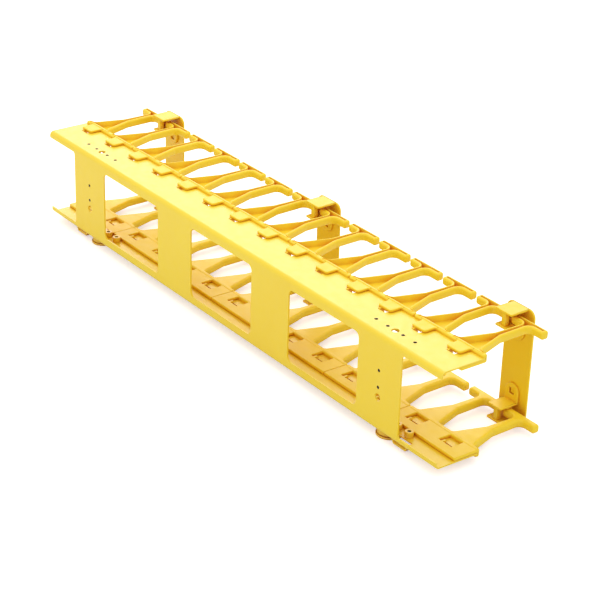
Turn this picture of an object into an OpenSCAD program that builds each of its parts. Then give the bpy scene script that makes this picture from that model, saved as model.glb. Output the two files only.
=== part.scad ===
// Vertical cable manager: a folded steel channel carries fourteen cable fingers on
// each flange, clipped on as two-finger strips, and three pull-off gates close the front.
// X runs along the channel, Y from its back web to the finger tips, Z from flange to flange.

/* [Channel] */
// Rack-unit pitch of the fingers
pitch = 44.45; // [40:0.05:48]
// Height between the outer faces of the two flanges
ch_h = 90.4; // [80:0.2:120]
// Depth of the flanges from the back of the web
ch_d = 46; // [44:0.5:60]
// Thickness of the folded sheet
sheet_t = 1.5; // [1:0.1:2]
// Outer radius of the two folds
bend_r = 4.5; // [3:0.1:6]

/* [Web windows] */
// Width of the four web posts
post_w = 56.5; // [40:0.5:70]
// Distance of the outer posts from the middle
outer_post_x = 233.4; // [225:0.1:245]
// Distance of the inner posts from the middle
inner_post_x = 77.6; // [70:0.1:90]
// Height of the strip of web left beside each fold
window_lip = 10; // [8:0.1:14]
// Radius of the window corners
window_r = 5.5; // [3:0.5:12]
// Height of the same strip past the outer posts, where the web is open to the end
notch_lip = 6.5; // [6:0.1:12]
// Radius of the notch corners beside the outer posts
notch_r = 3; // [1:0.5:8]

/* [Mounting holes] */
// Distance of the flange hole row from the back of the web
row_y = 15.5; // [14:0.5:16]
// Spacing from the large hole to the inner small holes
inner_step = 10; // [9.5:0.1:11]
// Spacing from the large hole to the outer small holes
outer_step = 25.4; // [24:0.1:28]
// Diameter of the large holes
large_d = 7; // [6:0.1:7.5]
// Diameter of the small holes
small_d = 4; // [3:0.1:5]
// Diameter of the two small web holes
web_small_d = 3.2; // [2.5:0.1:5]
// Height of the large web hole above the bottom flange
web_large_z = 32; // [28:0.5:36]
// Height of the middle web hole
web_middle_z = 41.5; // [38:0.5:46]
// Height of the top web hole
web_top_z = 57.4; // [50:0.2:62]

/* [Finger strips] */
// Gap left between neighbouring strips
seam = 0.3; // [0.1:0.05:0.8]
// Clearance between a strip and the sheet it clips on
clip_gap = 0.1; // [0.05:0.05:0.3]
// Thickness of the base plate inside the channel
plate_t = 3; // [2:0.1:4]
// Distance of the base plate's front edge from the web
plate_y = 20.5; // [20:0.5:24]
// Width of the lip that wraps the flange edge
lip_w = 5; // [4:0.1:6]
// Thickness of the lip and tabs outside the flange
lip_t = 2.7; // [2:0.1:2.9]
// Height of the lip above the base plate's inner face
lip_rise = 0.3; // [0.1:0.1:1.5]
// Width of a finger at its root
root_w = 31.8; // [28:0.1:36]
// Width of a finger's arm
arm_w = 8; // [6:0.1:10]
// Distance of the finger tips from the web
tip_y = 117.5; // [110:0.5:125]
// Depth of the tip bar, along Y
tip_w = 7.4; // [6:0.1:9]
// Gap between neighbouring tip bars
tip_gap = 5.4; // [5.2:0.1:8]
// Height of the finger rims beyond the flange's outer face
rim_z = 3.3; // [2.9:0.1:4.5]
// Thickness of the rims round a finger's hollow outer face
rim_t = 2.8; // [1.2:0.1:2.9]
// Thickness of the skin behind the hollow
skin_t = 2; // [1.5:0.1:2.5]

/* [Latch tabs] */
// Width of the tab that latches each finger outside the flange
tab_w = 17; // [12:0.5:22]
// Offset of each tab along X from the middle of its finger
tab_shift = -1.9; // [-4:0.1:4]
// Distance of the tab's front edge from the web
tab_y = 31.5; // [30:0.5:35]
// Width of the latch slot in the flange
latch_w = 10; // [7:0.5:11]
// Width of the tooth that stands in the far side of the slot
tooth_w = 2.3; // [1:0.1:2.5]

/* [Gates] */
// Width of the gate strap
strap_w = 34.5; // [28:0.5:40]
// Thickness of the gate strap
strap_t = 1.8; // [1.5:0.1:2.5]
// Space between the finger tips and the strap
strap_gap = 6.1; // [5:0.1:9]
// Width of the two tongues that reach over the tips
tongue_w = 20; // [14:0.5:26]
// Reach of the tongues behind the tip bars
tongue_reach = 6.5; // [4.5:0.5:8]
// Space between a tip bar and the tongue outside it
tongue_gap = 2.9; // [1:0.1:4]
// Width of the gate clips
clip_w = 16; // [12:0.5:20]
// Space between a tip bar and the clip plate inside it
clip_space = 1.6; // [0.8:0.1:3]
// Clearance of the gate's post and pads against the fingers
run_gap = 0.35; // [0.3:0.05:0.6]
// Height of the clip's tab on the strap
tab_h = 16; // [14:0.5:22]

/* [Fixings] */
// Diameter of the mounting button's head
button_d = 24; // [20:0.5:26]
// Diameter of the threaded shank of the button
shank_d = 5; // [4:0.1:5.5]
// Width of the button's nut across its flats
nut_af = 8; // [7:0.5:9]
// Outer diameter of a clinch standoff
standoff_d = 8; // [6:0.5:8.5]
// Height of a standoff above the sheet
standoff_h = 5.5; // [4:0.5:8]
// Bore of a standoff
standoff_bore = 3.3; // [2.5:0.1:3.6]

/* [Hidden] */
$fn = 64;
strips = 7;
strip_fingers = 2;
gates = [-6, 0, 6];

// The origin sits under the middle of the whole manager, on the plane it rests on.
origin_shift = [0, -(tip_y + strap_gap + strap_t) / 2, rim_z + tongue_gap + strap_t];
ch_l = strips * strip_fingers * pitch - seam;
cut = 1;
// Strip levels: the lower strip as built, the upper one is its mirror image.
inner_z = sheet_t + clip_gap + plate_t;
lip_y = ch_d - lip_w / 2;
lip_end = ch_d + lip_w / 2;
latch_y = tab_y - 2.7;
latch_len = 6.2;
tip_x = (pitch - tip_gap) / 2;
tip_r = 2.2;
fillet_r = 8;
// Gate levels, for the lower end
tongue_z = -rim_z - tongue_gap;
clip_z = inner_z + clip_space;
strap_y = tip_y + strap_gap;
tongue_y = tip_y - tip_w - tongue_reach;
clip_t = 1.8;
clip_tab_t = 2.4;
stud_w = tip_gap - 2 * run_gap;
stud_y = [tongue_y + 0.9, tip_y - tip_w - 0.8];
strap_r = 7.5;
hole_s = 6;
lug_s = 4.8;
lug_h = 0.8;
// Bridge lances beside the mounting pattern
lance_l = 23;
lance_ramp = 3.5;
lance_drop = 5.7;
lance_w = 5.5;
lance_y = bend_r + 0.5;
// The button's head ends level with the gates, so the manager lies flat on both.
button_drop = -tongue_z + strap_t;
steel = [0.93, 0.82, 0.33];
plastic = [0.90, 0.74, 0.18];
zinc = [0.80, 0.66, 0.24];

// ---------- 2D helpers ----------

// Rectangle from (x0, y0) to (x1, y1) with all four corners rounded.
module rounded_rect(x0, y0, x1, y1, r) {
  translate([x0 + r, y0])
    square([x1 - x0 - 2 * r, y1 - y0]);
  translate([x0, y0 + r])
    square([x1 - x0, y1 - y0 - 2 * r]);
  for (x = [x0 + r, x1 - r], y = [y0 + r, y1 - r])
    translate([x, y])
      circle(r);
}

// Folded C section in (Y, Z): web at the left, a flange at the top and bottom.
module channel_section() {
  translate([0, bend_r])
    square([sheet_t, ch_h - 2 * bend_r]);
  for (z = [0, ch_h - sheet_t])
    translate([bend_r, z])
      square([ch_d - bend_r, sheet_t]);
  for (side = [0, 1])
    translate([0, side * ch_h])
      mirror([0, side])
        intersection() {
          translate([bend_r, bend_r])
            difference() {
              circle(bend_r);
              circle(bend_r - sheet_t);
            }
          square(bend_r);
        }
}

// Plan of one finger, its wide root tapering to an arm with a bar across the tip.
// g draws the same outline set in by that much, for the hollow inside the rims.
module finger_plan(g = 0) {
  arm = arm_w / 2;
  root = root_w / 2;
  reach = tip_y - tip_w - lip_end;
  side = [
    [root - g, -1 + 1.5 * g],
    [root - g, 0.01 + 1.5 * g],
    [root * 0.895 - g, reach * 0.012 + 1.5 * g],
    [root * 0.805 - g, reach * 0.048 + 1.2 * g],
    [root * 0.735 - g, reach * 0.105 + 0.6 * g],
    [root * 0.620 - g, reach * 0.21],
    [root * 0.520 - g, reach * 0.29],
    [root * 0.420 - g, reach * 0.37],
    [root * 0.335 - g, reach * 0.455],
    [arm * 1.14 - g, reach * 0.495],
    [arm * 1.03 - g, reach * 0.56],
    [arm * 0.90 - g, reach * 0.85],
    [arm * 0.90 - g, reach * 1.02]
  ];
  last = len(side) - 1;
  other = [for (i = [0 : last]) [-side[last - i][0], side[last - i][1]]];
  translate([0, lip_end])
    polygon(concat(side, other));
  rounded_rect(-tip_x + g, tip_y - tip_w + g, tip_x - g, tip_y - g, tip_r - g / 2);
  for (s = [0, 1])
    mirror([s, 0])
      difference() {
        translate([0, tip_y - tip_w - fillet_r])
          square([arm * 0.9 + fillet_r, fillet_r + g + 0.5]);
        translate([arm * 0.9 + fillet_r, tip_y - tip_w - fillet_r])
          circle(fillet_r + g);
      }
}

// ---------- Channel ----------

// Opening through the web between two X values, with a strip of web left above and below.
module web_window(x0, x1, lip, r) {
  translate([0, sheet_t + cut, 0])
    rotate([90, 0, 0])
      linear_extrude(sheet_t + 2 * cut)
        rounded_rect(x0, lip, x1, ch_h - lip, r);
}

// Bridge lance: a strip of the bottom flange pressed down as a tie-wrap loop.
module lance_strip() {
  half = lance_l / 2;
  slant = sheet_t * 0.45;
  translate([0, lance_y + lance_w, 0])
    rotate([90, 0, 0])
      linear_extrude(lance_w)
        polygon([
          [-half - 1, 0],
          [-half, 0],
          [-half + lance_ramp, -lance_drop],
          [half - lance_ramp, -lance_drop],
          [half, 0],
          [half + 1, 0],
          [half + 1, sheet_t],
          [half - slant, sheet_t],
          [half - lance_ramp - slant, sheet_t - lance_drop],
          [-half + lance_ramp + slant, sheet_t - lance_drop],
          [-half + slant, sheet_t],
          [-half - 1, sheet_t]
        ]);
}

// Row of holes along X through a flange: one large and four small ones.
module hole_row(z) {
  for (s = [-1, 1])
    translate([s * outer_post_x, row_y, z - cut]) {
      cylinder(d = large_d, h = sheet_t + 2 * cut);
      for (dx = [-outer_step, -inner_step, inner_step, outer_step])
        translate([dx, 0, 0])
          cylinder(d = small_d, h = sheet_t + 2 * cut);
    }
}

module back_channel() {
  color(steel)
    translate(origin_shift)
    difference() {
      union() {
        difference() {
          translate([-ch_l / 2, 0, 0])
            rotate([90, 0, 90])
              linear_extrude(ch_l)
                channel_section();
          for (s = [-1, 1])
            translate([s * (outer_post_x + outer_step), lance_y + lance_w / 2, sheet_t / 2])
              cube([lance_l, lance_w, sheet_t + cut], center = true);
        }
        for (s = [-1, 1])
          translate([s * (outer_post_x + outer_step), 0, 0])
            lance_strip();
      }
      web_window(-inner_post_x + post_w / 2, inner_post_x - post_w / 2, window_lip, window_r);
      for (s = [0, 1])
        mirror([s, 0, 0]) {
          web_window(inner_post_x + post_w / 2, outer_post_x - post_w / 2, window_lip, window_r);
          web_window(outer_post_x + post_w / 2, ch_l / 2 + 3 * notch_r, notch_lip, notch_r);
        }
      hole_row(0);
      hole_row(ch_h - sheet_t);
      for (s = [-1, 1], i = [0 : 2])
        translate([s * outer_post_x, -cut, [web_large_z, web_middle_z, web_top_z][i]])
          rotate([-90, 0, 0])
            cylinder(d = i == 0 ? large_d : web_small_d, h = sheet_t + 2 * cut);
      for (i = [0 : strips * strip_fingers - 1], z = [0, ch_h - sheet_t])
        translate([finger_x(i) + tab_shift - latch_w / 2, latch_y, z - cut])
          cube([latch_w, latch_len, sheet_t + 2 * cut]);
    }
}

// ---------- Finger strips ----------

// Middle of finger i along X, counted from the far end.
function finger_x(i) = (i - (strips * strip_fingers - 1) / 2) * pitch;

// Latch tab outside the flange, with the nub that drops into the flange's slot and the
// tooth that stands in the slot from the base plate.
module latch_tab() {
  nub_w = latch_w - 4;
  translate([tab_shift, 0, -lip_t]) {
    linear_extrude(lip_t - clip_gap)
      rounded_rect(-tab_w / 2, tab_y, tab_w / 2, lip_y + 3, 2.5);
    translate([-nub_w / 2, tab_y + 0.8, 0])
      cube([nub_w, latch_y + latch_len - tab_y - 1.1, lip_t + sheet_t * 0.7]);
    translate([-latch_w / 2 + clip_gap, latch_y + 0.3, lip_t - 0.6])
      cube([tooth_w, latch_len - 0.6, inner_z + 0.6]);
  }
}

// Solid finger with the hollow in its outer face.
module finger() {
  difference() {
    translate([0, 0, -rim_z])
      linear_extrude(inner_z + rim_z)
        finger_plan();
    translate([0, 0, -rim_z - cut])
      linear_extrude(inner_z + rim_z - skin_t + cut)
        finger_plan(rim_t);
  }
}

// Two fingers on one moulded base that grips the flange edge.
module finger_strip() {
  len = strip_fingers * pitch - seam;
  window_w = tab_w - 0.8;
  difference() {
    union() {
      translate([-len / 2, plate_y, inner_z - plate_t])
        cube([len, lip_y - plate_y + 1, plate_t]);
      translate([-len / 2, lip_y, -lip_t])
        cube([len, lip_w, inner_z + lip_rise + lip_t]);
      for (i = [0 : strip_fingers - 1])
        translate([(i - (strip_fingers - 1) / 2) * pitch, 0, 0])
          finger();
    }
    translate([-len / 2 - cut, lip_y - cut, -clip_gap])
      cube([len + 2 * cut, ch_d + clip_gap - lip_y + cut, sheet_t + 2 * clip_gap]);
    for (i = [0 : strip_fingers - 1])
      translate([(i - (strip_fingers - 1) / 2) * pitch + tab_shift, 0, 0])
        translate([-window_w / 2, tab_y - 0.9, inner_z - plate_t - cut])
          cube([window_w, lip_y - tab_y + 0.9, plate_t + 2 * cut]);
  }
  for (i = [0 : strip_fingers - 1])
    translate([(i - (strip_fingers - 1) / 2) * pitch, 0, 0])
      latch_tab();
}

// Strip n, counted from the far end, on the lower or the upper flange.
module strip_at(n, upper) {
  color(plastic)
    translate(origin_shift)
    translate([(n - (strips + 1) / 2) * strip_fingers * pitch, 0, upper ? ch_h : 0])
      mirror([0, 0, upper ? 1 : 0])
        finger_strip();
}

// ---------- Gates ----------

// Places a lower-end shape at gate g, mirrored for the upper end.
module at_gate(g, upper = false) {
  translate([gates[g - 1] * pitch, 0, upper ? ch_h : 0])
    mirror([0, 0, upper ? 1 : 0])
      children();
}

// Strap outside the finger tips, with one tongue over each row of tips.
module gate_strap(g) {
  top = ch_h - tongue_z + strap_t;
  color(plastic)
    translate(origin_shift) {
      translate([gates[g - 1] * pitch, strap_y + strap_t, 0])
        rotate([90, 0, 0])
          linear_extrude(strap_t)
            rounded_rect(-strap_w / 2, -button_drop, strap_w / 2, top, strap_r);
      for (upper = [false, true])
        at_gate(g, upper) {
          translate([-tongue_w / 2, tongue_y, -button_drop])
            cube([tongue_w, strap_y - tongue_y + strap_t / 2, strap_t]);
          translate([-lug_s / 2, strap_y - lug_h, hole_z() - lug_s / 2])
            cube([lug_s, lug_h + strap_t / 2, lug_s]);
        }
    }
}

// Height of the square hole in a clip's tab.
function hole_z() = clip_z + clip_t + tab_h - clip_w / 2 + 0.5;

// Clip inside the strap: a tab on the strap, a plate whose pad runs on the tip bars,
// and a post that passes between two tip bars and ends on the tongue.
module gate_clip(g, upper) {
  tab_top = clip_z + clip_t + tab_h;
  color(plastic)
    translate(origin_shift)
    at_gate(g, upper) {
      translate([0, strap_y, 0])
        rotate([90, 0, 0])
          linear_extrude(clip_tab_t)
            difference() {
              union() {
                translate([-clip_w / 2, clip_z])
                  square([clip_w, tab_top - clip_w / 2 - clip_z]);
                translate([0, tab_top - clip_w / 2])
                  circle(clip_w / 2);
              }
              translate([-hole_s / 2, hole_z() - hole_s / 2])
                square(hole_s);
            }
      translate([-clip_w / 2, tongue_y - 0.9, clip_z])
        cube([clip_w, strap_y - tongue_y + 0.9 - clip_tab_t / 2, clip_t]);
      translate([-clip_w / 2 + 0.5, tip_y - tip_w + 0.8, inner_z + run_gap])
        cube([clip_w - 1, tip_w - 1.6, clip_z + clip_t / 2 - inner_z - run_gap]);
      translate([-stud_w / 2, stud_y[0], tongue_z])
        cube([stud_w, stud_y[1] - stud_y[0], clip_z - tongue_z + clip_t / 2]);
    }
}

// ---------- Fixings ----------

// Mounting button under the bottom flange; its shank passes the large hole.
module mounting_button(s) {
  head_h = 2.5;
  color(zinc)
    translate(origin_shift + [s * outer_post_x, row_y, 0]) {
      translate([0, 0, -button_drop])
        cylinder(d = button_d, h = head_h - 0.4);
      translate([0, 0, -button_drop])
        cylinder(d = button_d - 4, h = head_h + 0.6);
      translate([0, 0, -button_drop + head_h])
        cylinder(d = button_d - 2, h = button_drop - head_h);
      translate([0, 0, -1])
        cylinder(d = shank_d, h = sheet_t + nut_af * 0.5 + 3);
    }
}

module button_nut(s) {
  color(zinc)
    translate(origin_shift + [s * outer_post_x, row_y, sheet_t])
      difference() {
        rotate([0, 0, 30])
          cylinder(d = nut_af / cos(30), h = nut_af * 0.5, $fn = 6);
        translate([0, 0, -cut])
          cylinder(d = shank_d + 0.1, h = nut_af * 0.5 + 2 * cut);
      }
}

// The four standoffs clinched in the small holes of one flange at one end.
module clinch_standoffs(s, upper) {
  color(zinc)
    translate(origin_shift + [s * outer_post_x, row_y, upper ? ch_h : 0])
      mirror([0, 0, upper ? 1 : 0])
        for (dx = [-outer_step, -inner_step, inner_step, outer_step])
          translate([dx, 0, 0])
            difference() {
              union() {
                translate([0, 0, sheet_t])
                  cylinder(d = standoff_d, h = standoff_h);
                cylinder(d = small_d - 0.1, h = sheet_t + 1);
              }
              translate([0, 0, -cut])
                cylinder(d = min(standoff_bore, small_d - 0.7), h = sheet_t + standoff_h + 2 * cut);
            }
}

// ---------- Parts ----------

back_channel();
strip_at(1, true);  // upper_fingers_1
strip_at(2, true);  // upper_fingers_2
strip_at(3, true);  // upper_fingers_3
strip_at(4, true);  // upper_fingers_4
strip_at(5, true);  // upper_fingers_5
strip_at(6, true);  // upper_fingers_6
strip_at(7, true);  // upper_fingers_7
strip_at(1, false);  // lower_fingers_1
strip_at(2, false);  // lower_fingers_2
strip_at(3, false);  // lower_fingers_3
strip_at(4, false);  // lower_fingers_4
strip_at(5, false);  // lower_fingers_5
strip_at(6, false);  // lower_fingers_6
strip_at(7, false);  // lower_fingers_7
gate_strap(1);  // gate_strap_1
gate_strap(2);  // gate_strap_2
gate_strap(3);  // gate_strap_3
gate_clip(1, true);  // gate_upper_clip_1
gate_clip(2, true);  // gate_upper_clip_2
gate_clip(3, true);  // gate_upper_clip_3
gate_clip(1, false);  // gate_lower_clip_1
gate_clip(2, false);  // gate_lower_clip_2
gate_clip(3, false);  // gate_lower_clip_3
mounting_button(1);  // mounting_button_near
mounting_button(-1);  // mounting_button_far
button_nut(1);  // button_nut_near
button_nut(-1);  // button_nut_far
clinch_standoffs(1, false);  // lower_standoffs_near
clinch_standoffs(-1, false);  // lower_standoffs_far
clinch_standoffs(1, true);  // upper_standoffs_near
clinch_standoffs(-1, true);  // upper_standoffs_far
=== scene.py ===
import bmesh
import bpy
import math
import numpy as np
from mathutils import Matrix, Vector
from mathutils.geometry import tessellate_polygon


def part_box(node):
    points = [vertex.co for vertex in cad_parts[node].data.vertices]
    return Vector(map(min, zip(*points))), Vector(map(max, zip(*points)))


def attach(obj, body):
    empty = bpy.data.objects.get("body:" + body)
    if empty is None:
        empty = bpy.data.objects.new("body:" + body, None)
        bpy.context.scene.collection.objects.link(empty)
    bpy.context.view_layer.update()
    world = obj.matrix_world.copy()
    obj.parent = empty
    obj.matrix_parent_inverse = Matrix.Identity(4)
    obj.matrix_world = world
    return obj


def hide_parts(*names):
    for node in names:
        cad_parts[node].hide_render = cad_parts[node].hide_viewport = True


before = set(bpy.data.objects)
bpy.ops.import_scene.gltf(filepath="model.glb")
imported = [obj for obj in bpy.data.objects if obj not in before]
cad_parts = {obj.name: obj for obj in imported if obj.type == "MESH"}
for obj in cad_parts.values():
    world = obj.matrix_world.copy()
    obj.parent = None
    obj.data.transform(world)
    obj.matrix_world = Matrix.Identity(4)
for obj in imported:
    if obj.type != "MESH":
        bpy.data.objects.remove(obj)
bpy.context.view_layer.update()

# ---------------------------------------------------------------------------
# The manager's own measures, in millimetres from the back of the web (y) and the
# outer face of the lower flange (z). Every section works in them, and seat() below
# turns them into the frame's metres.
CHANNEL_HEIGHT = 90.4
UNIT = 44.45
STRIPS = 7
web_corner, flange_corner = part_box("back_channel")
ORIGIN = np.array((0.0, web_corner.y, flange_corner.z - CHANNEL_HEIGHT * 0.001))


def seat(points):
    """Millimetres of the manager to metres of the frame: origin + points / 1000."""
    return ORIGIN + np.asarray(points, float) * 0.001


# ---------------------------------------------------------------------------
# Camera: a long lens looking down along the manager from beyond its near end.
LOOK_AT = (112.1, -47.1, 55.1)
AZIMUTH, ELEVATION, ROLL = (math.radians(a) for a in (54.42, 27.26, 1.1))
DISTANCE = 1.6436
aim = Vector(seat(LOOK_AT))
outward = Vector((math.sin(AZIMUTH) * math.cos(ELEVATION),
                  -math.cos(AZIMUTH) * math.cos(ELEVATION),
                  math.sin(ELEVATION)))
level = Vector((math.cos(AZIMUTH), math.sin(AZIMUTH), 0.0))
upright = outward.cross(level)
right = level * math.cos(ROLL) + upright * math.sin(ROLL)
up = upright * math.cos(ROLL) - level * math.sin(ROLL)
lens = bpy.data.cameras.new("camera")
lens.lens = 114.26
lens.sensor_width = 36.0
lens.shift_x = 0.0862
lens.shift_y = 0.0519
lens.clip_start = 0.01
camera = bpy.data.objects.new("camera", lens)
bpy.context.scene.collection.objects.link(camera)
camera.matrix_world = Matrix((
    (right.x, up.x, outward.x, aim.x + outward.x * DISTANCE),
    (right.y, up.y, outward.y, aim.y + outward.y * DISTANCE),
    (right.z, up.z, outward.z, aim.z + outward.z * DISTANCE),
    (0.0, 0.0, 0.0, 1.0)))
bpy.context.scene.camera = camera

# ---------------------------------------------------------------------------
# Studio: a white sweep under the manager, an even white room and three soft boxes:
# overhead, in front, and behind where the flanges mirror it as a pale sheen.
bpy.context.scene.view_settings.view_transform = "Standard"


def sockets(tree, name, **values):
    """Adds a node and sets the named inputs: underscores stand for spaces."""
    node = tree.nodes.new(name)
    for key, value in values.items():
        node.inputs[key.replace("_", " ")].default_value = value
    return node


room = bpy.data.worlds.new("white_room")
bpy.context.scene.world = room
room.use_nodes = True
tree = room.node_tree
tree.nodes.clear()
rays = tree.nodes.new("ShaderNodeLightPath")
seen = tree.nodes.new("ShaderNodeMath")
seen.operation = "MAXIMUM"
tree.links.new(rays.outputs["Is Camera Ray"], seen.inputs[0])
tree.links.new(rays.outputs["Is Glossy Ray"], seen.inputs[1])
through = tree.nodes.new("ShaderNodeMath")
through.operation = "MAXIMUM"
tree.links.new(seen.outputs[0], through.inputs[0])
tree.links.new(rays.outputs["Is Transmission Ray"], through.inputs[1])
glow = sockets(tree, "ShaderNodeBackground", Color=(1.0, 0.99, 0.96, 1), Strength=0.90)
plain = sockets(tree, "ShaderNodeBackground", Color=(1, 1, 1, 1), Strength=1.0)
choose = tree.nodes.new("ShaderNodeMixShader")
tree.links.new(through.outputs[0], choose.inputs[0])
tree.links.new(glow.outputs[0], choose.inputs[1])
tree.links.new(plain.outputs[0], choose.inputs[2])
world_out = tree.nodes.new("ShaderNodeOutputWorld")
tree.links.new(choose.outputs[0], world_out.inputs[0])


def soft_box(name, place, target, size, watts):
    """Square area lamp at place, turned to face target."""
    lamp = bpy.data.lights.new(name, "AREA")
    lamp.size = size
    lamp.energy = watts
    lamp.color = (1.0, 0.99, 0.97)
    box = bpy.data.objects.new(name, lamp)
    bpy.context.scene.collection.objects.link(box)
    box.location = place
    box.rotation_euler = (Vector(place) - Vector(target)).to_track_quat("Z", "Y").to_euler()


soft_box("overhead_box", (-0.35, 0.15, 1.7), (0, 0, 0.05), 1.5, 7.0)
soft_box("front_box", (0.2, -1.9, 0.8), (0, 0, 0.05), 1.2, 1.2)
soft_box("back_box", (-1.6, 1.2, 1.1), (0, 0, 0.05), 1.4, 13.0)

FLOOR_REACH = 6.0
floor_mesh = bpy.data.meshes.new("floor")
corners = [(-FLOOR_REACH, -FLOOR_REACH, 0), (FLOOR_REACH, -FLOOR_REACH, 0),
           (FLOOR_REACH, FLOOR_REACH, 0), (-FLOOR_REACH, FLOOR_REACH, 0)]
floor_mesh.from_pydata(corners, [], [(0, 1, 2, 3)])
floor = bpy.data.objects.new("floor", floor_mesh)
bpy.context.scene.collection.objects.link(floor)
paper = bpy.data.materials.new("white_paper")
paper.use_nodes = True
tree = paper.node_tree
tree.nodes.clear()
rays = tree.nodes.new("ShaderNodeLightPath")
matt = sockets(tree, "ShaderNodeBsdfDiffuse", Color=(0.86, 0.86, 0.86, 1))
lift = sockets(tree, "ShaderNodeEmission", Color=(1, 1, 1, 1))
fill = tree.nodes.new("ShaderNodeMath")
fill.operation = "MULTIPLY"
fill.inputs[1].default_value = 0.52
tree.links.new(rays.outputs["Is Camera Ray"], fill.inputs[0])
tree.links.new(fill.outputs[0], lift.inputs["Strength"])
both = tree.nodes.new("ShaderNodeAddShader")
tree.links.new(matt.outputs[0], both.inputs[0])
tree.links.new(lift.outputs[0], both.inputs[1])
paper_out = tree.nodes.new("ShaderNodeOutputMaterial")
tree.links.new(both.outputs[0], paper_out.inputs["Surface"])
floor_mesh.materials.append(paper)

# ---------------------------------------------------------------------------
# The yellow: everything is one colour, laid on the channel as powder coat and run
# through the mouldings. Four shader groups carry what the finishes share: the coat's peel,
# the mould's grain, a slow drift of tone, a painted highlight on edges and painted shade in enclosed
# corners.


def shader_group(name, inputs, outputs):
    """A new group with its sockets: inputs as {name: default number}, outputs as {name: kind}."""
    group = bpy.data.node_groups.new(name, "ShaderNodeTree")
    for label, value in inputs.items():
        socket = group.interface.new_socket(label, in_out="INPUT", socket_type="NodeSocketFloat")
        socket.default_value = value
    for label, kind in outputs.items():
        group.interface.new_socket(label, in_out="OUTPUT", socket_type=kind)
    return group, group.nodes.new("NodeGroupInput"), group.nodes.new("NodeGroupOutput")


def surface_texture():
    """Bump height of a skin: coarse noise for the peel plus fine noise for the grain."""
    group, given, result = shader_group(
        "skin_texture", {"Peel Scale": 420.0, "Grain Scale": 2600.0, "Grain Share": 0.4},
        {"Height": "NodeSocketFloat"})
    place = group.nodes.new("ShaderNodeTexCoord")
    peel = sockets(group, "ShaderNodeTexNoise", Detail=2.0, Roughness=0.5)
    grain = sockets(group, "ShaderNodeTexNoise", Detail=1.0, Roughness=0.6)
    mix = group.nodes.new("ShaderNodeMix")
    link = group.links.new
    link(place.outputs["Object"], peel.inputs["Vector"])
    link(place.outputs["Object"], grain.inputs["Vector"])
    link(given.outputs["Peel Scale"], peel.inputs["Scale"])
    link(given.outputs["Grain Scale"], grain.inputs["Scale"])
    link(given.outputs["Grain Share"], mix.inputs[0])
    link(peel.outputs["Fac"], mix.inputs[2])
    link(grain.outputs["Fac"], mix.inputs[3])
    link(mix.outputs[0], result.inputs["Height"])
    return group


def tone_drift():
    """Slow change of tone over the piece: low noise stretched to 0..1."""
    group, given, result = shader_group(
        "tone_drift", {"Scale": 9.0}, {"Tone": "NodeSocketFloat", "Fine": "NodeSocketFloat"})
    place = group.nodes.new("ShaderNodeTexCoord")
    slow = sockets(group, "ShaderNodeTexNoise", Detail=3.0, Roughness=0.55)
    fine = sockets(group, "ShaderNodeTexNoise", Scale=130.0, Detail=4.0, Roughness=0.6)
    stretch = sockets(group, "ShaderNodeMapRange", From_Min=0.35, From_Max=0.65)
    link = group.links.new
    link(place.outputs["Object"], slow.inputs["Vector"])
    link(place.outputs["Object"], fine.inputs["Vector"])
    link(given.outputs["Scale"], slow.inputs["Scale"])
    link(slow.outputs["Fac"], stretch.inputs["Value"])
    link(stretch.outputs["Result"], result.inputs["Tone"])
    link(fine.outputs["Fac"], result.inputs["Fine"])
    return group


def painted_edge_highlight():
    """Painted edge highlight: 1 - (rounded normal . true normal) is above nought only beside an edge,
    and fine noise breaks it up."""
    group, given, result = shader_group(
        "painted_edge_highlight", {"Radius": 0.0008, "Amount": 0.5}, {"Painted Highlight": "NodeSocketFloat"})
    rounded = group.nodes.new("ShaderNodeBevel")
    true = group.nodes.new("ShaderNodeNewGeometry")
    agree = group.nodes.new("ShaderNodeVectorMath")
    agree.operation = "DOT_PRODUCT"
    differ = sockets(group, "ShaderNodeMapRange", From_Min=0.995, From_Max=0.80)
    place = group.nodes.new("ShaderNodeTexCoord")
    breaks = sockets(group, "ShaderNodeTexNoise", Scale=160.0, Detail=3.0)
    patch = sockets(group, "ShaderNodeMapRange", From_Min=0.42, From_Max=0.62)
    broken = group.nodes.new("ShaderNodeMath")
    broken.operation = "MULTIPLY"
    scaled = group.nodes.new("ShaderNodeMath")
    scaled.operation = "MULTIPLY"
    link = group.links.new
    link(given.outputs["Radius"], rounded.inputs["Radius"])
    link(rounded.outputs["Normal"], agree.inputs[0])
    link(true.outputs["Normal"], agree.inputs[1])
    link(agree.outputs["Value"], differ.inputs["Value"])
    link(place.outputs["Object"], breaks.inputs["Vector"])
    link(breaks.outputs["Fac"], patch.inputs["Value"])
    link(differ.outputs["Result"], broken.inputs[0])
    link(patch.outputs["Result"], broken.inputs[1])
    link(broken.outputs[0], scaled.inputs[0])
    link(given.outputs["Amount"], scaled.inputs[1])
    link(scaled.outputs[0], result.inputs["Painted Highlight"])
    return group


def painted_crevice_shade():
    """Mask for painted shade: how enclosed a point is, 1 - ambient occlusion within the given reach."""
    group, given, result = shader_group(
        "painted_crevice_shade", {"Reach": 0.012}, {"Painted Shade": "NodeSocketFloat"})
    open_sky = group.nodes.new("ShaderNodeAmbientOcclusion")
    open_sky.samples = 8
    closed = sockets(group, "ShaderNodeMapRange", From_Min=0.75, From_Max=0.05)
    link = group.links.new
    link(given.outputs["Reach"], open_sky.inputs["Distance"])
    link(open_sky.outputs["AO"], closed.inputs["Value"])
    link(closed.outputs["Result"], result.inputs["Painted Shade"])
    return group


GROUPS = {"skin": surface_texture(), "tone": tone_drift(), "edge_highlight": painted_edge_highlight(), "crevice_shade": painted_crevice_shade()}


def use_group(tree, key, **values):
    """Places one of the shader groups in a material, with its own values."""
    node = tree.nodes.new("ShaderNodeGroup")
    node.node_tree = GROUPS[key]
    for label, value in values.items():
        node.inputs[label.replace("_", " ")].default_value = value
    return node


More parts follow.
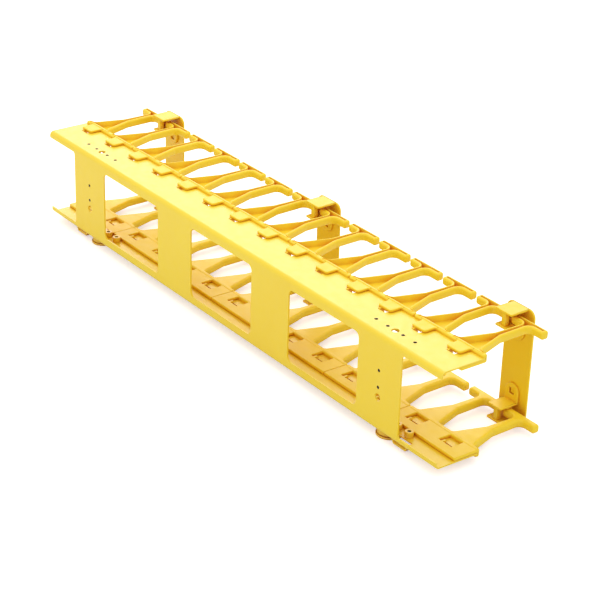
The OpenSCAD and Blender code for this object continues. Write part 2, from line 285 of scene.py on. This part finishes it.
def blend_colour(tree, factor, low, high):
    """Colour mix node: low and high are colours or sockets, factor is a socket."""
    mix = tree.nodes.new("ShaderNodeMix")
    mix.data_type = "RGBA"
    tree.links.new(factor, mix.inputs[0])
    for slot, value in ((6, low), (7, high)):
        if isinstance(value, bpy.types.NodeSocket):
            tree.links.new(value, mix.inputs[slot])
        else:
            mix.inputs[slot].default_value = (*value, 1)
    return mix.outputs[2]


def yellow_finish(name, fresh, warm, highlight_colour, crevice_shade, gloss, coat, bump, peel, grain, share):
    """A yellow skin: tone drifts from fresh to warm, a painted highlight lightens the edges to the third
    colour and painted shade darkens enclosed corners to the fourth; roughness is gloss plus a little of the
    fine noise, and the skin texture drives the bump."""
    material = bpy.data.materials.new(name)
    material.use_nodes = True
    tree = material.node_tree
    tree.nodes.clear()
    link = tree.links.new
    out = tree.nodes.new("ShaderNodeOutputMaterial")
    skin = sockets(tree, "ShaderNodeBsdfPrincipled", IOR=1.5, Coat_Weight=coat,
                   Coat_Roughness=0.22, Coat_IOR=1.5)
    link(skin.outputs[0], out.inputs["Surface"])
    tone = use_group(tree, "tone")
    edge_highlight = use_group(tree, "edge_highlight")
    crevice_shading = use_group(tree, "crevice_shade")
    texture = use_group(tree, "skin", Peel_Scale=peel, Grain_Scale=grain, Grain_Share=share)
    colour = blend_colour(tree, tone.outputs["Tone"], fresh, warm)
    # painted highlight: a paler yellow beside every edge
    colour = blend_colour(tree, edge_highlight.outputs["Painted Highlight"], colour, highlight_colour)
    # painted shade: enclosed corners and hollows darken to a deep orange-red
    colour = blend_colour(tree, crevice_shading.outputs["Painted Shade"], colour, crevice_shade)
    link(colour, skin.inputs["Base Color"])
    sheen = sockets(tree, "ShaderNodeMapRange", From_Min=0.3, From_Max=0.7,
                    To_Min=gloss - 0.05, To_Max=gloss + 0.07)
    link(tone.outputs["Fine"], sheen.inputs["Value"])
    link(sheen.outputs["Result"], skin.inputs["Roughness"])
    relief = sockets(tree, "ShaderNodeBump", Strength=bump, Distance=0.0002)
    link(texture.outputs["Height"], relief.inputs["Height"])
    link(relief.outputs["Normal"], skin.inputs["Normal"])
    return material


# ---------------------------------------------------------------------------
# Channel: one folded sheet of steel, powder coated after punching. The CAD solid has
# its true shape, so the piece is that solid with its sheared edges eased by the coat.
EASE = 0.00035
# Third and fourth colours: a painted edge highlight and painted shade for enclosed corners.
coat = yellow_finish(
    "powder_coat", fresh=(0.92, 0.69, 0.024), warm=(0.91, 0.655, 0.018), highlight_colour=(0.97, 0.79, 0.13),
    crevice_shade=(0.76, 0.24, 0.010), gloss=0.42, coat=0.25, bump=0.10, peel=620.0, grain=2400.0, share=0.25)


def eased_copy(name, node, width, material, body):
    """The node's solid, its triangles merged back into flat faces and its edges bevelled."""
    work = bmesh.new()
    work.from_mesh(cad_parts[node].data)
    bmesh.ops.remove_doubles(work, verts=work.verts, dist=1e-6)
    bmesh.ops.dissolve_limit(work, angle_limit=math.radians(0.6), verts=work.verts, edges=work.edges)
    mesh = bpy.data.meshes.new(name)
    work.to_mesh(mesh)
    work.free()
    mesh.shade_smooth()
    mesh.set_sharp_from_angle(angle=math.radians(30))
    mesh.materials.clear()
    mesh.materials.append(material)
    thing = bpy.data.objects.new(name, mesh)
    bpy.context.scene.collection.objects.link(thing)
    bevel = thing.modifiers.new("eased", "BEVEL")
    bevel.width = width
    bevel.segments = 2
    bevel.limit_method = "ANGLE"
    bevel.angle_limit = math.radians(30)
    bevel.harden_normals = True
    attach(thing, body)
    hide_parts(node)
    return thing


eased_copy("channel", "back_channel", EASE, coat, "manager")

# ---------------------------------------------------------------------------
# Finger strips: two fingers moulded on one base. The base plate lies inside the flange,
# a fat lip wraps the flange's edge, and a tab outside latches each finger, its nub and
# tooth in the flange's slot. A finger is hollow on its outer face, with well rounded rims.
# Third and fourth colours: a painted edge highlight and painted shade for enclosed corners.
plastic = yellow_finish(
    "moulded_fingers", fresh=(0.93, 0.675, 0.018), warm=(0.92, 0.645, 0.014), highlight_colour=(0.97, 0.78, 0.11),
    crevice_shade=(0.76, 0.22, 0.008), gloss=0.46, coat=0.0, bump=0.06, peel=300.0, grain=1900.0, share=0.6)

LIP_BACK, LIP_FRONT = 43.5, 48.5
LIP_OUT, LIP_IN = -2.7, 4.9
PLATE_BACK, PLATE_LOW, PLATE_HIGH = 20.5, 1.6, 4.6
FLARE, FLARE_BACK, FLARE_FRONT, FLARE_FILLET = 18.6, 44.6, 48.2, 3.6
ROOT, KNEE, KNEE_Y, KNEE_BEND = 14.3, 4.5, 78.6, 8.0
RIM, RIM_ROUND, HOLLOW, FLOOR = -3.3, 2.3, 2.75, 2.6
TIP, TIP_DEPTH, TIP_GAP = 117.5, 7.4, 5.4
TIP_FILLET, TIP_CORNER = 4.8, 2.2
ARM, BELLY = 3.6, 2.6
TAB_OFFSET, TAB_WIDTH, TAB_BACK = -1.9, 17.0, 31.5
FOOT, FOOT_BACK, FOOT_FRONT = 2.6, 43.7, 46.4
NUB_HALF, NUB_BACK, NUB_FRONT, NUB_HIGH = 3.0, 32.3, 34.7, 1.1
TOOTH_LEFT, TOOTH_RIGHT, TOOTH_LOW = 4.9, 2.6, -0.6
WINDOW_HALF, WINDOW_BACK = 8.1, 30.6
LATCH_BACK, LATCH_FRONT = 29.1, 34.7
SEAM = 0.3


def outline(corners, radii, samples=7):
    """Closed outline with every corner rounded. The arc leaves the edge before the corner at
    radius / tan(half the corner's angle) and swings round a centre on the bisector."""
    corner = np.asarray(corners, float)
    radius = np.broadcast_to(np.asarray(radii, float), len(corner))[:, None]
    before = np.roll(corner, 1, 0) - corner
    after = np.roll(corner, -1, 0) - corner
    before /= np.linalg.norm(before, axis=1, keepdims=True)
    after /= np.linalg.norm(after, axis=1, keepdims=True)
    half = np.arccos(np.clip((before * after).sum(1, keepdims=True), -1, 1)) / 2
    bisector = (before + after) / np.linalg.norm(before + after, axis=1, keepdims=True)
    centre = corner + bisector * radius / np.sin(half)
    first = corner + before * radius / np.tan(half) - centre
    last = corner + after * radius / np.tan(half) - centre
    turn = (np.pi - 2 * half)[:, None]
    share = np.linspace(0, 1, samples)[None, :, None]
    swing = np.sin((1 - share) * turn) * first[:, None] + np.sin(share * turn) * last[:, None]
    swing /= np.sin(turn)
    return (centre[:, None] + swing).reshape(-1, 2)


def mitres(loop):
    """Each point's step into the material for an inset of one: (n1 + n2) / (1 + n1.n2)."""
    ahead = np.roll(loop, -1, 0) - loop
    ahead /= np.linalg.norm(ahead, axis=1, keepdims=True)
    inward = np.stack((-ahead[:, 1], ahead[:, 0]), 1)
    behind = np.roll(inward, 1, 0)
    return (inward + behind) / (1 + (inward * behind).sum(1, keepdims=True))


def solid(loops, rings):
    """A plate with a shaped edge: every ring moves each outline into the material by its inset
    and sets it at its height. The first outline runs anticlockwise and holes run clockwise."""
    insets = np.asarray(rings, float)[:, 0]
    levels = [loop[None] + insets[:, None, None] * mitres(loop)[None] for loop in loops]
    return walls(levels, np.asarray(rings, float)[:, 1])


def walls(levels, height):
    """Sides between matching outlines at their heights, with flat faces on the first and last."""
    grids, quads, ends, count = [], [], ([], []), 0
    for level in levels:
        grid = np.concatenate((level, np.broadcast_to(height[:, None, None], (*level.shape[:2], 1))), 2)
        index = count + np.arange(grid.shape[0] * grid.shape[1]).reshape(grid.shape[:2])
        beside = np.roll(index, -1, 1)
        quads.append(np.stack((index[:-1], beside[:-1], beside[1:], index[1:]), -1).reshape(-1, 4))
        grids.append(grid.reshape(-1, 3))
        ends[0].append(index[0])
        ends[1].append(index[-1])
        count += grid.shape[0] * grid.shape[1]
    points = np.concatenate(grids)
    faces = np.concatenate(quads).tolist()
    for rims in ends:
        labels = np.concatenate(rims)
        flat = tessellate_polygon([[Vector(p) for p in points[rim]] for rim in rims])
        faces += [tuple(labels[list(corner)]) for corner in flat]
    return points, faces


def eased(low, high, radius, steps=5):
    """Rings of a plate from height low to high, both edges rounded to a quarter circle."""
    angle = np.linspace(0, np.pi / 2, steps)
    foot = np.stack((radius * (1 - np.sin(angle)), low + radius * (1 - np.cos(angle))), 1)
    crown = np.stack((radius * (1 - np.cos(angle)), high - radius * (1 - np.sin(angle))), 1)
    return np.concatenate(((foot[:1] + (radius * 0.4, 0)), foot, crown, (crown[-1:] + (radius * 0.4, 0))))


def rectangle(x0, y0, x1, y1, radius, samples=5):
    """Anticlockwise rectangle with rounded corners."""
    return outline([(x0, y0), (x1, y0), (x1, y1), (x0, y1)], radius, samples)


def upper(shape):
    """The same shape on the upper flange: z becomes the channel's height less z."""
    points, faces = shape
    return points * (1, 1, -1) + (0, 0, CHANNEL_HEIGHT), faces


def shifted(shape, dx, dy=0.0, dz=0.0):
    """The shape moved by a step."""
    points, faces = shape
    return points + (dx, dy, dz), faces


def piece(name, shapes, material, body, slot, *nodes):
    """Joins the shapes into one mesh object in its place, rides it and lets it stand for the nodes."""
    starts = np.cumsum([0] + [len(points) for points, _ in shapes])
    points = seat(np.concatenate([points for points, _ in shapes]))
    faces = [[int(i + start) for i in face] for (_, faces), start in zip(shapes, starts) for face in faces]
    mesh = bpy.data.meshes.new(name)
    mesh.from_pydata(points.tolist(), [], faces)
    work = bmesh.new()
    work.from_mesh(mesh)
    bmesh.ops.remove_doubles(work, verts=work.verts, dist=1e-7)
    bmesh.ops.recalc_face_normals(work, faces=work.faces)
    work.to_mesh(mesh)
    work.free()
    mesh.shade_smooth()
    mesh.set_sharp_from_angle(angle=math.radians(38))
    mesh.materials.append(material)
    thing = bpy.data.objects.new(name, mesh)
    bpy.context.scene.collection.objects.link(thing)
    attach(thing, body)
    if nodes:
        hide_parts(*nodes)
    return thing


def finger_rings():
    """Inset and height from the rounded inner face, up the side, over the rim and down into the
    hollow: quarter circles of radius BELLY and RIM_ROUND, then steps to the floor."""
    angle = np.linspace(0, np.pi / 2, 7)
    belly = np.stack((BELLY * (1 - np.sin(angle)), PLATE_HIGH - BELLY * (1 - np.cos(angle))), 1)
    crest = np.stack((RIM_ROUND * (1 - np.cos(angle)), RIM + RIM_ROUND * (1 - np.sin(angle))), 1)
    inside = np.array([(RIM_ROUND + 0.15, RIM + 0.05), (HOLLOW - 0.05, RIM + 0.45),
                       (HOLLOW + 0.1, FLOOR - 0.4), (HOLLOW + 0.3, FLOOR)])
    return np.concatenate((belly, crest, inside))


def finger_shape():
    """Right half as corners with radii and a share of the inset, then its mirror image: flare at
    the lip, long taper, knee, slim arm, fillet, and the tip bar. Insets move the corners, so
    outer radii shrink by the inset and inner radii grow by it."""
    inner = TIP - TIP_DEPTH
    bar = (UNIT - TIP_GAP) / 2
    half = np.array([
        (FLARE, FLARE_BACK, 0.3, 0.3), (FLARE, FLARE_FRONT, 0.3, 0.3),
        (ROOT, FLARE_FRONT, FLARE_FILLET, 1), (KNEE, KNEE_Y, KNEE_BEND, 1),
        (ARM, inner, TIP_FILLET, 1), (bar, inner, TIP_CORNER, 1), (bar, TIP, TIP_CORNER, 1)])
    both = np.concatenate((half, half[::-1] * (-1, 1, 1, 1)))
    corner, radius, share = both[:, :2], both[:, 2], both[:, 3:]
    ahead, behind = np.roll(corner, -1, 0) - corner, corner - np.roll(corner, 1, 0)
    turn = np.sign(behind[:, 0] * ahead[:, 1] - behind[:, 1] * ahead[:, 0])
    inset, height = finger_rings().T
    level = np.stack([outline(corner + mitres(corner) * share * step,
                              np.maximum(radius - turn * share[:, 0] * step, 0.2), 9) for step in inset])
    return walls([level], height)


def strip_shapes():
    """Two fingers with their tabs, nubs and teeth, the lip bar, and the base plate with its windows."""
    length = 2 * UNIT - SEAM
    finger = finger_shape()
    lip = solid([rectangle(-length / 2, LIP_BACK, length / 2, LIP_FRONT, 2.2)], eased(LIP_OUT, LIP_IN, 1.5))
    tab_left = TAB_OFFSET - TAB_WIDTH / 2
    tab_right = TAB_OFFSET + TAB_WIDTH / 2
    tab_outline = outline(
        [(tab_left, TAB_BACK), (tab_right, TAB_BACK),
         (tab_right, FOOT_BACK), (tab_right + FOOT, FOOT_BACK),
         (tab_right + FOOT, FOOT_FRONT), (tab_left - FOOT, FOOT_FRONT),
         (tab_left - FOOT, FOOT_BACK), (tab_left, FOOT_BACK)],
        (2.5, 2.5, 1.6, 0.3, 0.3, 0.3, 0.3, 1.6))
    tab = solid([tab_outline], eased(LIP_OUT, -0.1, 0.85))
    nub = solid([rectangle(TAB_OFFSET - NUB_HALF, NUB_BACK, TAB_OFFSET + NUB_HALF, NUB_FRONT, 0.5)],
                eased(LIP_OUT + 1, NUB_HIGH, 0.3))
    tooth_plan = rectangle(TAB_OFFSET - TOOTH_LEFT, LATCH_BACK, TAB_OFFSET - TOOTH_RIGHT, LATCH_FRONT, 0.5)
    tooth = solid([tooth_plan], eased(TOOTH_LOW, PLATE_HIGH - 0.1, 0.4, 4))
    windows = [
        rectangle(centre + TAB_OFFSET - WINDOW_HALF, WINDOW_BACK,
                  centre + TAB_OFFSET + WINDOW_HALF, LIP_BACK + 0.2, 1.0)[::-1]
        for centre in (-UNIT / 2, UNIT / 2)]
    base = solid([rectangle(-length / 2, PLATE_BACK, length / 2, LIP_FRONT - 2, 1.2), *windows],
                 eased(PLATE_LOW, PLATE_HIGH, 0.7, 4))
    shapes = [lip, base]
    for centre in (-UNIT / 2, UNIT / 2):
        shapes += [shifted(part, centre) for part in (finger, tab, nub, tooth)]
    return shapes


strip = strip_shapes()
for number in range(1, STRIPS + 1):
    centre = (number - (STRIPS + 1) / 2) * 2 * UNIT
    placed = [shifted(shape, centre) for shape in strip]
    piece(f"lower_strip_{number}", placed, plastic, "manager", "fingers", f"lower_fingers_{number}")
    piece(f"upper_strip_{number}", [upper(shape) for shape in placed], plastic, "manager", "fingers",
          f"upper_fingers_{number}")

# ---------------------------------------------------------------------------
# Gates: a thin moulded strap in front of the tips with a tongue over each row. Inside it,
# at both ends, a clip hangs on a square lug: its plate runs on the tip bars and its post
# passes between two of them.
# Painted shade: the gates' yellow is the fingers' yellow made a little darker and more orange.
# Third and fourth colours: a painted edge highlight and painted shade for enclosed corners.
gate_plastic = yellow_finish(
    "moulded_gates", fresh=(0.92, 0.655, 0.018), warm=(0.91, 0.625, 0.014), highlight_colour=(0.97, 0.78, 0.11),
    crevice_shade=(0.76, 0.22, 0.008), gloss=0.42, coat=0.0, bump=0.05, peel=260.0, grain=1700.0, share=0.5)

STRAP_IN, STRAP_OUT = 123.6, 125.4
STRAP_HALF, STRAP_LOW = 17.25, -8.0
TONGUE_HALF, TONGUE_TIP, TONGUE_IN = 10.0, 103.6, -6.2
CLIP_HALF, CLIP_LOW, CLIP_HIGH, CLIP_TIP = 8.0, 6.2, 8.0, 102.7
HOOK_TOP, HOOK_IN, HOLE_Z, HOLE, LUG, LUG_RISE = 24.0, 121.2, 16.5, 6.0, 4.8, 0.8
RUNNING_GAP = 0.35


def on_strap(shape):
    """Turns a plate drawn in x and z with its thickness along y: (x, z, y) becomes (x, y, z)."""
    points, faces = shape
    return points[:, [0, 2, 1]], faces


def gate_end():
    """Lower end of a gate: the tongue and lug of the strap, and the clip's hook, plate, pad and post."""
    tongue = solid([outline([(-TONGUE_HALF, TONGUE_TIP), (TONGUE_HALF, TONGUE_TIP),
                             (TONGUE_HALF, STRAP_OUT - 0.3), (-TONGUE_HALF, STRAP_OUT - 0.3)],
                            (1.6, 1.6, 0.3, 0.3))], eased(STRAP_LOW, TONGUE_IN, 0.5, 4))
    lug = on_strap(solid([rectangle(-LUG / 2, HOLE_Z - LUG / 2, LUG / 2, HOLE_Z + LUG / 2, 0.4)],
                         eased(STRAP_IN - LUG_RISE, STRAP_IN + 0.6, 0.2, 3)))
    hook_outline = outline([(-CLIP_HALF, CLIP_LOW), (CLIP_HALF, CLIP_LOW), (CLIP_HALF, HOOK_TOP),
                            (-CLIP_HALF, HOOK_TOP)], (0.5, 0.5, 7.9, 7.9), 13)
    hole = rectangle(-HOLE / 2, HOLE_Z - HOLE / 2, HOLE / 2, HOLE_Z + HOLE / 2, 0.7)[::-1]
    hook = on_strap(solid([hook_outline, hole], eased(HOOK_IN, STRAP_IN, 0.55, 4)))
    plate = solid([outline([(-CLIP_HALF, CLIP_TIP), (CLIP_HALF, CLIP_TIP), (CLIP_HALF, STRAP_IN - 1),
                            (-CLIP_HALF, STRAP_IN - 1)], (1.2, 1.2, 0.3, 0.3))],
                  eased(CLIP_LOW, CLIP_HIGH, 0.5, 4))
    pad = solid([rectangle(-CLIP_HALF + 0.5, TIP - TIP_DEPTH + 0.8, CLIP_HALF - 0.5, TIP - 0.8, 0.6)],
                eased(PLATE_HIGH + RUNNING_GAP, CLIP_LOW + 0.8, 0.3, 3))
    post_half = TIP_GAP / 2 - RUNNING_GAP
    post = solid([rectangle(-post_half, TONGUE_TIP + 0.9, post_half, TIP - TIP_DEPTH - 0.8, 0.5)],
                 eased(TONGUE_IN, CLIP_LOW + 0.8, 0.2, 3))
    return [tongue, lug], [hook, plate, pad, post]


strap_end, clip = gate_end()
strap = on_strap(solid([rectangle(-STRAP_HALF, STRAP_LOW, STRAP_HALF, CHANNEL_HEIGHT - STRAP_LOW, 7.5, 13)],
                       eased(STRAP_IN, STRAP_OUT, 0.6, 5)))
for number, units in ((1, -6), (2, 0), (3, 6)):
    body = f"gate_{number}"
    centre = units * UNIT
    straps = [strap, *strap_end, *(upper(shape) for shape in strap_end)]
    piece(f"strap_{number}", [shifted(shape, centre) for shape in straps], gate_plastic, body, "gates",
          f"gate_strap_{number}")
    piece(f"lower_clip_{number}", [shifted(shape, centre) for shape in clip], gate_plastic, body, "gates",
          f"gate_lower_clip_{number}")
    piece(f"upper_clip_{number}", [shifted(upper(shape), centre) for shape in clip], gate_plastic, body,
          "gates", f"gate_upper_clip_{number}")

# ---------------------------------------------------------------------------
# Fixings: turned mounting buttons below the lower flange, each held by a nut inside it,
# and standoffs clinched into the small holes of both flanges. All were coated with the
# channel, with their threads masked, so the bores are bare steel.
# Third and fourth colours: a painted edge highlight and painted shade for enclosed corners.
fixing_coat = yellow_finish(
    "coated_fixings", fresh=(0.92, 0.64, 0.035), warm=(0.88, 0.58, 0.03), highlight_colour=(0.93, 0.76, 0.20),
    crevice_shade=(0.62, 0.20, 0.01), gloss=0.36, coat=0.4, bump=0.12, peel=900.0, grain=3000.0, share=0.3)
bare_steel = bpy.data.materials.new("bare_threads")
bare_steel.use_nodes = True
tree = bare_steel.node_tree
tree.nodes.clear()
metal = sockets(tree, "ShaderNodeBsdfPrincipled", Metallic=0.85, IOR=1.5, Roughness=0.45)
spot = use_group(tree, "tone", Scale=60.0)
tree.links.new(blend_colour(tree, spot.outputs["Tone"], (0.10, 0.09, 0.075), (0.17, 0.15, 0.12)),
               metal.inputs["Base Color"])
thread_height = sockets(tree, "ShaderNodeTexWave", Scale=220.0)
thread_height.bands_direction = "Z"
tree.links.new(tree.nodes.new("ShaderNodeTexCoord").outputs["Object"], thread_height.inputs["Vector"])
thread = sockets(tree, "ShaderNodeBump", Strength=0.8, Distance=0.0003)
tree.links.new(thread_height.outputs["Fac"], thread.inputs["Height"])
tree.links.new(thread.outputs["Normal"], metal.inputs["Normal"])
tree.links.new(metal.outputs[0], tree.nodes.new("ShaderNodeOutputMaterial").inputs["Surface"])

HOLE_ROW_Y, POST_X = 15.5, 233.4
BUTTON_DROP, HEAD_RADIUS = -8.0, 12.0
STEPS = (-25.4, -10.0, 10.0, 25.4)
TURN_SAMPLES = 48


def turned(profile, x, closed=False):
    """A turned part on the hole row at x: (radius, height) swung round the hole's axis."""
    radius, height = np.asarray(profile, float).T
    angle = np.linspace(0, 2 * np.pi, TURN_SAMPLES, endpoint=False)[:, None]
    grid = np.stack((x + radius * np.cos(angle), HOLE_ROW_Y + radius * np.sin(angle),
                     np.broadcast_to(height, (TURN_SAMPLES, len(radius)))), -1)
    index = np.arange(grid.shape[0] * grid.shape[1]).reshape(grid.shape[:2])
    beside = np.roll(index, -1, 0)
    if closed:
        onward, beyond = np.roll(index, -1, 1), np.roll(beside, -1, 1)
    else:
        index, onward, beside, beyond = index[:, :-1], index[:, 1:], beside[:, :-1], beside[:, 1:]
    faces = np.stack((index, beside, beyond, onward), -1).reshape(-1, 4).tolist()
    return grid.reshape(-1, 3), faces


button_profile = [
    (0.0, BUTTON_DROP), (HEAD_RADIUS - 0.6, BUTTON_DROP), (HEAD_RADIUS - 0.15, BUTTON_DROP + 0.2),
    (HEAD_RADIUS, BUTTON_DROP + 0.6), (HEAD_RADIUS, BUTTON_DROP + 1.7),
    (HEAD_RADIUS - 0.2, BUTTON_DROP + 2.1),
    (HEAD_RADIUS - 2.0, BUTTON_DROP + 2.1), (HEAD_RADIUS - 2.0, BUTTON_DROP + 2.7),
    (HEAD_RADIUS - 1.2, BUTTON_DROP + 2.7), (HEAD_RADIUS - 1.0, BUTTON_DROP + 2.9),
    (HEAD_RADIUS - 1.0, -0.2), (HEAD_RADIUS - 1.2, 0.0), (2.5, 0.0), (2.5, 6.9), (2.1, 7.5), (0.0, 7.5)]
standoff_profile = [
    (1.65, 0.0), (1.95, 0.0), (1.95, 1.5), (4.0, 1.5), (4.0, 6.6), (3.6, 7.0), (2.1, 7.0), (1.65, 6.6)]
for end, side in (("near", 1), ("far", -1)):
    x = side * POST_X
    piece(f"button_{end}", [turned(button_profile, x)], fixing_coat, "manager", "fixings",
          f"mounting_button_{end}")
    bosses = [turned(standoff_profile, x + step, closed=True) for step in STEPS]
    for level, shapes in (("lower", bosses), ("upper", [upper(boss) for boss in bosses])):
        threaded = piece(f"{level}_standoffs_{end}", shapes, fixing_coat, "manager", "fixings",
                         f"{level}_standoffs_{end}")
        threaded.data.materials.append(bare_steel)
        bore = np.arange(len(threaded.data.polygons)) % len(standoff_profile) == len(standoff_profile) - 1
        threaded.data.polygons.foreach_set("material_index", bore.astype(np.int32))
    eased_copy(f"nut_{end}", f"button_nut_{end}", 0.0003, fixing_coat, "manager")

# ---------------------------------------------------------------------------
# Dark sleeves: a bare-steel sleeve sits in each of the two small holes above each large web hole
# and makes the hole dark inside. Each insert sits flush in the sheet and stands 1.5 mm behind it.
WEB_HOLES_Z = (41.5, 57.4)
INSERT_RADIUS, BORE_RADIUS, INSERT_START, INSERT_END = 1.55, 1.2, 0.15, 3.0


def circle(radius):
    """Round outline: a square whose corners are rounded to its half width."""
    return rectangle(-radius, -radius, radius, radius, radius * 0.999, 7)


insert = on_strap(solid([circle(INSERT_RADIUS), circle(BORE_RADIUS)[::-1]],
                        eased(INSERT_START, INSERT_END, 0.1, 3)))
piece("dark_web_sleeves", [shifted(insert, side * POST_X, 0, z) for side in (-1, 1) for z in WEB_HOLES_Z],
      bare_steel, "manager", "fixings")
